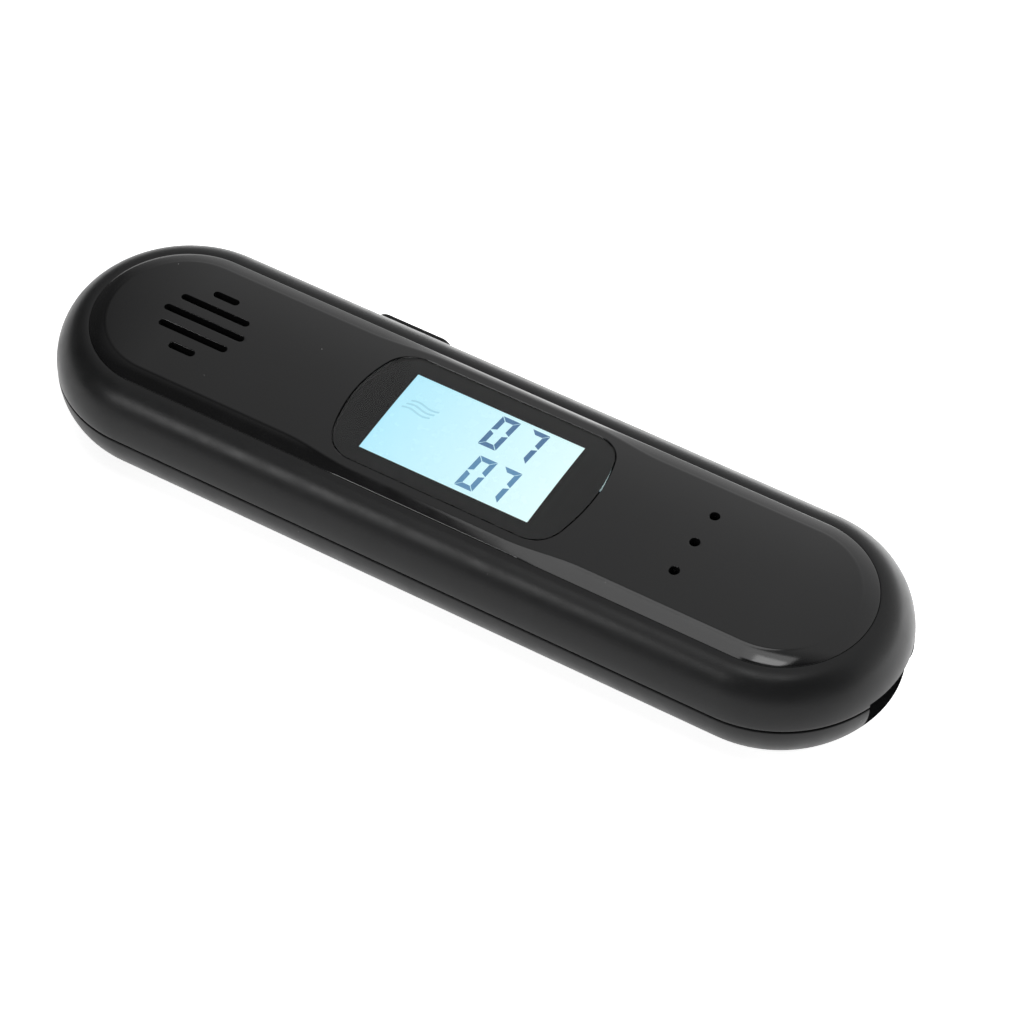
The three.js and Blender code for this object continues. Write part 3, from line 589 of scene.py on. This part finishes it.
def lower_shell():
    foot_radius, floor_radius, floor_z = 12.5 * MM, 11.5 * MM, 1.5 * MM
    lip_outer, lip_inner, lip_top = 16.6 * MM, 15.8 * MM, 9.8 * MM
    edge_z = LOWER_RIM_Z - RIM_EDGE
    outside = ellipse((foot_radius, edge_z), (END_RADIUS - foot_radius, edge_z), -90, 0, 22)
    rim = round_corner((END_RADIUS - RIM_EDGE, edge_z), RIM_EDGE, 0, 90)[1:]
    lip = [(lip_outer, LOWER_RIM_Z), (lip_outer, lip_top), (lip_inner, lip_top)]
    inner_axes = (lip_inner - floor_radius, LOWER_RIM_Z - floor_z)
    inside = ellipse((floor_radius, LOWER_RIM_Z), inner_axes, 0, -90, 10)
    shell = capsule("bottom_shell.fine", outside + rim + lip + inside)

    wall_block = capsule("wall_block", outside + [(END_RADIUS - RIM_EDGE, LOWER_RIM_Z)])
    wall_bottom_z = 0.5 * MM
    port_wall = block(
        "port_wall", (PORT_WALL_X[0], -PORT_WALL_HALF_WIDTH, wall_bottom_z),
        (PORT_WALL_X[1], PORT_WALL_HALF_WIDTH, BOARD_BOTTOM_Z),
    )
    boolean(port_wall, [wall_block], "INTERSECT")
    boss_bottom_z = 1 * MM
    bosses = [rod("boss", BOSS_RADIUS, boss_bottom_z, BOARD_BOTTOM_Z, spot) for spot in screw_places()]
    join(shell, port_wall, *bosses)

    margin = 0.7 * MM
    hole_top_z = BOARD_BOTTOM_Z + margin
    holes = [rod("hole", SCREW_HOLE_RADIUS, -margin, hole_top_z, spot) for spot in screw_places()]
    mouth, seat_z = 0.15 * MM, 2.2 * MM
    recesses = []
    for spot in screw_places():
        profile = flared(HEAD_RECESS_RADIUS, -seat_z, 0, mouth)
        recess = turned("recess", [(radius, -z) for radius, z in reversed(profile)], spot)
        recesses.append(recess)
    opening = block(
        "opening", (RECESS_FLOOR_X, -RECESS_HALF_WIDTH, RECESS_BOTTOM_Z),
        (BEYOND_END_X, RECESS_HALF_WIDTH, LOWER_RIM_Z + 0.01 * MM),
    )
    through_wall = [(PORT_HOLE_RADIUS, x) for x in (61 * MM, 66 * MM)]
    port_hole = capsule("port_hole", through_wall, PORT_HOLE_HALF_STRAIGHT, 16)
    along_x = Matrix.Rotation(math.pi / 2, 4, "Y")
    across = Matrix.Rotation(math.pi / 2, 4, "Z")
    place(port_hole, Matrix.Translation((0, 0, PORT_Z)) @ along_x @ across)
    notch_back_y, notch_front_y, notch_bottom_z, notch_top_z = 14.2 * MM, 17 * MM, 7.6 * MM, 11 * MM
    notch = block(
        "notch", (BUTTON_X - BUTTON_ROOM_HALF_LENGTH, notch_back_y, notch_bottom_z),
        (BUTTON_X + BUTTON_ROOM_HALF_LENGTH, notch_front_y, notch_top_z),
    )
    cut(shell, *holes, *recesses, opening, port_hole, notch)
    return smooth(shell)


def upper_shell():
    ceiling_radius, inner_radius = 12 * MM, 17.1 * MM
    lip = 0.08 * MM
    edge_z = UPPER_RIM_Z + RIM_EDGE
    inner_axes = (inner_radius - ceiling_radius, DECK_BOTTOM_Z - UPPER_RIM_Z)
    inside = ellipse((ceiling_radius, UPPER_RIM_Z), inner_axes, 90, 0, 10)
    rim = round_corner((END_RADIUS - RIM_EDGE, edge_z), RIM_EDGE, -90, 0)
    outer_axes = (END_RADIUS - CREASE_RADIUS - lip, CREASE_Z - SEAM_Z - 2 * RIM_EDGE)
    outside = ellipse((CREASE_RADIUS + lip, edge_z), outer_axes, 0, 90, 26)[1:]
    outside = [(radius, min(z, CREASE_Z)) for radius, z in outside]
    mouth = round_corner((CREASE_RADIUS + lip, outside[-1][1] - lip), lip, 90, 180)[1:]
    shell = capsule("top_shell.fine", inside + rim + outside + mouth + [(CREASE_RADIUS, DECK_TOP_Z)])

    boss_top_z = DECK_BOTTOM_Z + 0.5 * MM
    bosses = [rod("boss", BOSS_RADIUS, BOARD_TOP_Z, boss_top_z, spot) for spot in screw_places()]
    join(shell, *bosses)
    low_z, high_z = DECK_CUT_Z
    room_bottom_z, room_top_z, room_back_y, room_front_y = 8 * MM, 13.7 * MM, 11 * MM, 16.2 * MM
    pilots = [rod("pilot", PILOT_RADIUS, room_bottom_z, PILOT_TOP_Z, spot) for spot in screw_places()]
    half_length, half_width = DISPLAY_OPENING
    display_hole = block(
        "display_hole", (WINDOW_X - half_length, WINDOW_Y - half_width, low_z),
        (WINDOW_X + half_length, WINDOW_Y + half_width, high_z),
    )
    intake = rod("intake", INTAKE_RADIUS, low_z, high_z, (SENSOR_X, 0))
    seat_half_length, seat_half_width, seat_depth = MESH_SEAT
    mesh_seat = block(
        "mesh_seat", (SENSOR_X - seat_half_length, -seat_half_width, DECK_TOP_Z - seat_depth),
        (SENSOR_X + seat_half_length, seat_half_width, high_z),
    )
    light_holes = [rod("light_hole", LIGHT_HOLE_RADIUS, low_z, high_z, spot, 24) for spot in light_places()]
    pocket = block(
        "pocket", (BUTTON_X - BUTTON_ROOM_HALF_LENGTH, room_back_y, room_bottom_z),
        (BUTTON_X + BUTTON_ROOM_HALF_LENGTH, room_front_y, room_top_z),
    )
    button_hole = button_prism("button_hole", BUTTON_RADIUS + BUTTON_CLEARANCE, 15 * MM, 21 * MM)
    recess = block(
        "recess", (UPPER_RECESS_FLOOR_X, -RECESS_HALF_WIDTH, room_bottom_z),
        (BEYOND_END_X, RECESS_HALF_WIDTH, RECESS_TOP_Z),
    )
    cut(shell, *pilots, display_hole, intake, mesh_seat, *light_holes, pocket, button_hole, recess)
    return smooth(shell)


def crown_z(radius):
    """The height of the panel's crowned face at a distance from the middle line."""
    return TOP_Z - CROWN_RADIUS + math.sqrt(CROWN_RADIUS ** 2 - radius ** 2)


def panel_profile(face_radius):
    """(distance from the middle, height) up the band, round the face's edge and over the crown."""
    low, high = (PANEL_RADIUS, CREASE_Z), (face_radius, crown_z(face_radius))
    band_tilt = math.atan2(high[1] - low[1], low[0] - high[0])
    face_tilt = math.asin(face_radius / CROWN_RADIUS)
    edge_radius = 2.2 * MM
    cut_back = edge_radius * math.tan((band_tilt - face_tilt) / 2)
    lip = 0.05 * MM
    start = (high[0] + cut_back * math.cos(band_tilt), high[1] - cut_back * math.sin(band_tilt))
    bow = (low[0] - start[0]) ** 2 / (8 * BAND_RADIUS)
    points = [(low[0], DECK_TOP_Z), (low[0], low[1] - lip), (low[0] - lip / 2, low[1])]
    for i in range(1, 13):
        t = i / 12
        rise = 4 * bow * t * (1 - t)
        points.append((
            low[0] + (start[0] - low[0]) * t + rise * math.sin(band_tilt),
            low[1] + (start[1] - low[1]) * t + rise * math.cos(band_tilt),
        ))
    centre = (
        start[0] - edge_radius * math.sin(band_tilt), start[1] - edge_radius * math.cos(band_tilt),
    )
    for i in range(1, 7):
        tilt = band_tilt + (face_tilt - band_tilt) * i / 6
        points.append((centre[0] + edge_radius * math.sin(tilt), centre[1] + edge_radius * math.cos(tilt)))
    edge = points[-1][0]
    steps = 12
    for i in range(1, steps):
        radius = edge * (1 - i / steps)
        points.append((radius, crown_z(radius)))
    return points + [(0.001 * MM, TOP_Z)]


def swell_at(x):
    """How far the edge of the panel's face stands out at this place along the case."""
    t = min(1, max(0, (SWELL_GONE_X - abs(x)) / (SWELL_GONE_X - SWELL_FULL_X)))
    return SWELL * t * t * (3 - 2 * t)


def panel_blank():
    """The panel before its openings are cut: a capsule whose face widens beside the display."""
    side_steps = 96
    places = [HALF_STRAIGHT * (1 - 2 * i / side_steps) for i in range(1, side_steps)]
    sides = [(x, panel_profile(FACE_RADIUS + swell_at(x))) for x in places]
    rings = []
    for level, (radius, z) in enumerate(panel_profile(FACE_RADIUS)):
        outline = stadium(radius)
        right, left = outline[:ARC_STEPS + 1], outline[ARC_STEPS + 1:]
        ring = [(x, y, z) for x, y in right]
        ring += [(x, profile[level][0], profile[level][1]) for x, profile in sides]
        ring += [(x, y, z) for x, y in left]
        ring += [(-x, -profile[level][0], profile[level][1]) for x, profile in sides]
        rings.append(ring)
    return loft("top_panel.fine", rings)


def gloss_panel():
    panel = panel_blank()
    lip = 0.1 * MM
    rounded_lip = 0.16 * MM
    seat_levels = [(lens_outline(-LENS_GAP), GASKET_BOTTOM_Z)]
    seat_top = crown_z(LENS_HALF_WIDTH)
    for inset, z in flared(0, 0, seat_top, rounded_lip)[1:]:
        seat_levels.append((lens_outline(-LENS_GAP - inset), z))
    lens_seat = stack("lens_seat", seat_levels)
    opening = rectangle(*GASKET_HOLE, (WINDOW_X, 0))
    seat_clear_z = 17.2 * MM
    display_hole = stack("display_hole", [(opening, PANEL_CUT_BOTTOM_Z), (opening, seat_clear_z)])
    slots = []
    for i, half_length in enumerate(SLOT_HALF_LENGTHS):
        y = (i - (len(SLOT_HALF_LENGTHS) - 1) / 2) * SLOT_PITCH
        profile = flared(SLOT_RADIUS, PANEL_CUT_BOTTOM_Z, crown_z(abs(y)), lip)
        slots.append(capsule("slot", profile, half_length, 16, (SENSOR_X, y)))
    light_holes = []
    for x, y in light_places():
        profile = flared(LIGHT_HOLE_RADIUS, PANEL_CUT_BOTTOM_Z, crown_z(y), lip)
        light_holes.append(turned("light_hole", profile, (x, y), 32))
    cut(panel, lens_seat, display_hole, *slots, *light_holes)
    return smooth(panel, 24)


# The lower shell is painted with the darker copy of its plastic: painted shade from the floor below it.
finished(lower_shell(), "case", "matte_black", "bottom_shell", look="matte_black_painted_shade")
finished(upper_shell(), "case", "matte_black", "top_shell")
finished(gloss_panel(), "case", "gloss_black", "top_panel")

# ------------------------------------------------------------------ display


def lens():
    """A clear cover with a flat back, whose front carries on the panel's crown."""
    blank = stack("display_lens.fine", [(lens_outline(0), LENS_BOTTOM_Z), (lens_outline(0), TOP_Z + 1 * MM)])
    steps = 40
    reach = 30 * MM
    ridge = []
    for i in range(steps + 1):
        y = LENS_HALF_WIDTH * 1.1 * (2 * i / steps - 1)
        ridge.append((y, crown_z(y) - LENS_SUNK))
    crown = stack("crown", [(ridge + [(ridge[-1][0], 0), (ridge[0][0], 0)], x) for x in (-reach, reach)])
    along_x = Matrix(((0, 0, 1, 0), (1, 0, 0, 0), (0, 1, 0, 0), (0, 0, 0, 1)))
    place(crown, along_x)
    return smooth(boolean(blank, [crown], "INTERSECT"))


def mask():
    outline = lens_outline(0.02 * MM)
    clear_of_lens = 0.02 * MM
    top_z = LENS_BOTTOM_Z - clear_of_lens
    sheet = stack("lens_mask.fine", [(outline, MASK_BOTTOM_Z), (outline, top_z)])
    window_corner = 0.05 * MM
    window = rectangle(WINDOW_LENGTH, WINDOW_WIDTH, window_corner, (WINDOW_X, WINDOW_Y))
    hole = stack("window", [(window, MASK_BOTTOM_Z - 1 * MM), (window, LENS_BOTTOM_Z + 1 * MM)])
    return smooth(cut(sheet, hole))


def slab(name, points, thickness=0.05 * MM):
    """A thin flat shape that stands just clear of the display glass."""
    clearance = 0.01 * MM
    low = GLASS_TOP_Z + clearance
    return stack(name, [(points, low), (points, low + thickness)])


def figure(name, corner, lit):
    """A seven-segment figure with mitred corners. lit names the segments that show."""
    width, height, stroke, gap = 2.88 * MM, 6.2 * MM, 0.78 * MM, 0.08 * MM
    slant_degrees = 4.5
    slant = math.tan(math.radians(slant_degrees))
    mid = height / 2
    inner = stroke + gap
    top_bar = [(gap, 0), (inner, stroke), (width - inner, stroke), (width - gap, 0)]
    post = [(0, gap), (0, mid - gap), (stroke, mid - gap - stroke / 2), (stroke, inner)]
    middle_bar = [(gap, mid), (inner, mid - stroke / 2), (width - inner, mid - stroke / 2),
                  (width - gap, mid), (width - inner, mid + stroke / 2), (inner, mid + stroke / 2)]

    def mirrored(points, left_right, top_bottom):
        points = [(width - x if left_right else x, height - y if top_bottom else y) for x, y in points]
        return points if left_right == top_bottom else list(reversed(points))

    shapes = {
        "a": mirrored(top_bar, False, True), "b": mirrored(post, True, True),
        "c": mirrored(post, True, False), "d": top_bar,
        "e": post, "f": mirrored(post, False, True), "g": middle_bar,
    }
    return [
        slab(f"{name}.{segment}", [(corner[0] + x + slant * y, corner[1] + y) for x, y in shapes[segment]])
        for segment in lit
    ]


def air_flow_icon(centre):
    """Three wavy strokes, for the prompt to blow."""
    strokes = []
    length, thickness, wave = 4.6 * MM, 0.28 * MM, 0.22 * MM
    for row in (-1, 0, 1):
        y = centre[1] + row * 0.8 * MM
        middle_line = []
        steps = 20
        for i in range(steps + 1):
            t = i / steps
            x = centre[0] + (t - 0.5) * length + row * 0.3 * MM
            middle_line.append((x, y + wave * math.sin(2 * math.pi * t)))
        lower = [(x, py - thickness / 2) for x, py in middle_line]
        upper = [(x, py + thickness / 2) for x, py in reversed(middle_line)]
        strokes.append(slab("air_flow", lower + upper))
    return strokes


def merged(name, pieces):
    """One object from several pieces that don't touch."""
    bm = bmesh.new()
    for piece in pieces:
        bm.from_mesh(piece.data)
        bpy.data.objects.remove(piece)
    mesh = bpy.data.meshes.new(name)
    bm.to_mesh(mesh)
    bm.free()
    return link(name, mesh)


def segments(name, darker, lighter):
    """Liquid crystal segments: blue ink with the backlight showing through."""
    material, tree, bsdf = shader(name)
    tone = mixed_color(tree, noise(tree, 400, 2), darker, lighter)
    bsdf.inputs["Base Color"].default_value = (0.02, 0.03, 0.05, 1)
    tree.links.new(tone, bsdf.inputs["Emission Color"])
    bsdf.inputs["Emission Strength"].default_value = 1.0
    bsdf.inputs["Roughness"].default_value = 0.4
    return material


def display_content():
    """Two rows of figures, a zero and a seven each, and the icon at their left."""
    zero, seven = "abcdef", "abc"
    upper_y, lower_y = 1.09 * MM, -6.86 * MM
    upper = figure("upper_zero", (-0.04 * MM, upper_y), zero)
    upper += figure("upper_seven", (4.76 * MM, upper_y), seven)
    lower = figure("lower_zero", (1.0 * MM, lower_y), zero)
    lower += figure("lower_seven", (5.0 * MM, lower_y), seven)
    icon = air_flow_icon((-10.2 * MM, 2.36 * MM))
    shown = (
        ("upper_figures", upper, (0.045, 0.13, 0.27), (0.07, 0.19, 0.36)),
        ("lower_figures", lower, (0.075, 0.21, 0.38), (0.1, 0.27, 0.46)),
        ("air_flow_icon", icon, (0.34, 0.66, 0.78), (0.4, 0.72, 0.84)),
    )
    for name, pieces, darker, lighter in shown:
        piece = merged(name, pieces)
        piece.data.materials.append(segments(name, darker, lighter))
        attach(piece, "case")


display_content()
finished(lens(), "case", "clear_window", "display_lens")
finished(mask(), "case", "print_black", "lens_mask")

# ------------------------------------------------------------------ button, screws, port and lights


def push_button():
    """The button's flange, stem and softly domed face, built along Z and laid along Y."""
    height = BUTTON_FACE_Y - BUTTON_BACK_Y
    flange_radius, flange_thickness, edge = BUTTON_RADIUS + 0.9 * MM, 0.8 * MM, 0.6 * MM
    dome = 0.15 * MM
    profile = [(flange_radius, 0), (flange_radius, flange_thickness), (BUTTON_RADIUS, flange_thickness)]
    profile += round_corner((BUTTON_RADIUS - edge, height - dome - edge), edge, 0, 80, 8)
    rim = profile[-1]
    for i in range(1, 5):
        share = i / 5
        profile.append((rim[0] * (1 - share), rim[1] + (height - rim[1]) * (1 - (1 - share) ** 2)))
    profile.append((0.001 * MM, height))
    button = capsule("side_button.fine", profile, BUTTON_HALF_STRAIGHT, 32)
    turn = Matrix.Rotation(-math.pi / 2, 4, "X")
    return smooth(place(button, Matrix.Translation((BUTTON_X, BUTTON_BACK_Y, BUTTON_Z)) @ turn))


def case_screw(name):
    """A pan-head screw with a cross recess and a coarse thread on its shank."""
    low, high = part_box(name)
    spot = (middle(name, 0), middle(name, 1))
    head_radius, shank_radius, head_top = 1.8 * MM, 0.9 * MM, low[2] + 1.3 * MM
    profile = [(0.001 * MM, low[2])]
    profile += round_corner((head_radius - 0.4 * MM, low[2] + 0.4 * MM), 0.4 * MM, -90, 0, 6)
    profile += [(head_radius, head_top), (shank_radius, head_top)]
    pitch, z = 0.6 * MM, head_top + 0.5 * MM
    while z + pitch < high[2] - 1 * MM:
        profile += [(shank_radius * 0.78, z), (shank_radius, z + pitch / 2)]
        z += pitch
    profile += [(shank_radius * 0.78, z), (0.001 * MM, high[2])]
    screw = turned(f"{name}.fine", profile, spot, 32)
    bottom, top = low[2] - 0.5 * MM, low[2] + 0.7 * MM
    arms = []
    for long_side, short_side in ((1.1 * MM, 0.22 * MM), (0.22 * MM, 1.1 * MM)):
        arms.append(block(
            "arm", (spot[0] - long_side, spot[1] - short_side, bottom),
            (spot[0] + long_side, spot[1] + short_side, top),
        ))
    return smooth(cut(screw, *arms))


def port_shell():
    """The folded metal tube of the charging port, with rolled edges."""
    wall, roll = 0.3 * MM, 0.08 * MM
    height, width, corner = 2.8 * MM, 7.6 * MM, 0.7 * MM
    length = PORT_FRONT_X - PORT_BACK_X

    def tube(inset):
        return rectangle(height - 2 * inset, width - 2 * inset, corner - inset)

    levels = [
        (tube(0), 0), (tube(0), length - roll), (tube(roll), length),
        (tube(wall - roll), length), (tube(wall), length - roll), (tube(wall), 0),
    ]
    shell = stack("port_shell.fine", levels, closed=True)
    along_x = Matrix.Rotation(math.pi / 2, 4, "Y")
    return smooth(place(shell, Matrix.Translation((PORT_BACK_X, 0, PORT_Z)) @ along_x))


def light_pipe(name):
    """A clear pin with a foot and a domed tip."""
    low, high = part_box(name)
    foot_radius, pin_radius, foot = 1.5 * MM, 0.62 * MM, 0.8 * MM
    profile = [(foot_radius, low[2]), (foot_radius, low[2] + foot), (pin_radius, low[2] + foot)]
    profile += round_corner((0, high[2] - pin_radius), pin_radius, 0, 88, 8)
    return smooth(turned(f"{name}.fine", profile, (middle(name, 0), middle(name, 1)), 32))


finished(push_button(), "button", "button_black", "side_button")
for screw_name in SCREWS:
    finished(case_screw(screw_name), "case", "screw_steel", screw_name)
finished(port_shell(), "case", "bright_steel", "port_shell")
for light_name in LIGHT_NAMES:
    pipe_name = f"light_pipe_{light_name}"
    finished(light_pipe(pipe_name), "case", "clear_pipe", pipe_name)

# ------------------------------------------------------------------ floor, light and surroundings


def make_floor():
    """A white floor with an even glow, and painted light: a stronger glow behind the tester, other than past
    its left end.
    """
    size = 6.0
    floor = block("floor", (-size, -size, -0.01), (size, size, 0))
    material, tree, bsdf = shader("floor")
    tone = mixed_color(tree, noise(tree, 3, 2), (0.9, 0.9, 0.9), (0.93, 0.93, 0.93))
    tree.links.new(tone, bsdf.inputs["Base Color"])
    bsdf.inputs["Roughness"].default_value = 0.9
    bsdf.inputs["Specular IOR Level"].default_value = 0.2
    place_on_floor = node(tree, "ShaderNodeTexCoord").outputs["Object"]
    parts = node(tree, "ShaderNodeSeparateXYZ", {"Vector": place_on_floor})
    # Painted light: the floor glows brighter behind the tester and much less past its left end, in place of
    # lamp light falling there.
    behind = remap(tree, parts.outputs["Y"], -0.03, 0.12, 0.0, 2.8)
    not_left = remap(tree, parts.outputs["X"], -0.1, -0.04, 0.1, 1.0)
    painted_floor_light = node(tree, "ShaderNodeMath", {0: behind, 1: not_left}, operation="MULTIPLY").outputs[0]
    strength = node(tree, "ShaderNodeMath", {0: painted_floor_light, 1: 0.55}, operation="ADD").outputs[0]
    bsdf.inputs["Emission Color"].default_value = (1, 1, 1, 1)
    tree.links.new(strength, bsdf.inputs["Emission Strength"])
    floor.data.materials.append(material)


def area_light(name, place_at, target, size, radiance):
    """A rectangular soft box of even brightness. Its power follows from its area."""
    data = bpy.data.lights.new(name, "AREA")
    data.shape = "RECTANGLE"
    data.size, data.size_y = size
    data.energy = radiance * math.pi * size[0] * size[1]
    light = bpy.data.objects.new(name, data)
    direction = Vector(target) - Vector(place_at)
    light.rotation_euler = direction.to_track_quat("-Z", "Y").to_euler()
    light.location = place_at
    bpy.context.scene.collection.objects.link(light)
    return light


def make_world():
    """White walls low down all round, a grey backdrop behind and a dark ceiling in front."""
    world = bpy.data.worlds.new("studio")
    world.use_nodes = True
    tree = world.node_tree
    direction = node(tree, "ShaderNodeTexCoord").outputs["Generated"]
    parts = node(tree, "ShaderNodeSeparateXYZ", {"Vector": direction})

    def ramp(value, stops):
        made = node(tree, "ShaderNodeValToRGB", {"Fac": value})
        elements = made.color_ramp.elements
        while len(elements) < len(stops):
            elements.new(0.5)
        for element, (position, level) in zip(elements, stops):
            element.position = position
            element.color = (level, level, level, 1)
        return made.outputs["Color"]

    back = ramp(parts.outputs["Z"], [(0, 0.9), (0.25, 0.7), (0.5, 0.55), (0.72, 0.47), (1, 0.42)])
    front = ramp(parts.outputs["Z"], [(0, 0.6), (0.12, 0.35), (0.3, 0.1), (1, 0.03)])
    to_back = remap(tree, parts.outputs["Y"], -0.04, 0.2, 0, 1)
    light = mixed_color(tree, to_back, front, back)
    strength = remap(tree, parts.outputs["X"], -0.78, -0.28, 0.12, 1.6)
    background = tree.nodes["Background"]
    tree.links.new(light, background.inputs["Color"])
    tree.links.new(strength, background.inputs["Strength"])
    bpy.context.scene.world = world


def make_lights():
    """Three soft boxes overhead that face straight down, and one at the front left."""
    overhead = (
        ("overhead_left", (-0.15, -0.155, 0.6), (0.14, 0.37), 2.0),
        ("overhead_right", (0.035, -0.06, 0.6), (0.23, 0.16), 2.2),
        ("overhead_core", (0.055, -0.095, 0.59), (0.15, 0.1), 3.2),
    )
    for name, (x, y, z), size, radiance in overhead:
        area_light(name, (x, y, z), (x, y, 0), size, radiance)
    area_light("front_left", (-0.33, -0.55, 0.5), aim_point, (0.18, 0.28), 7.5)


make_floor()
make_world()
make_lights()
bpy.context.scene.view_settings.view_transform = "Standard"
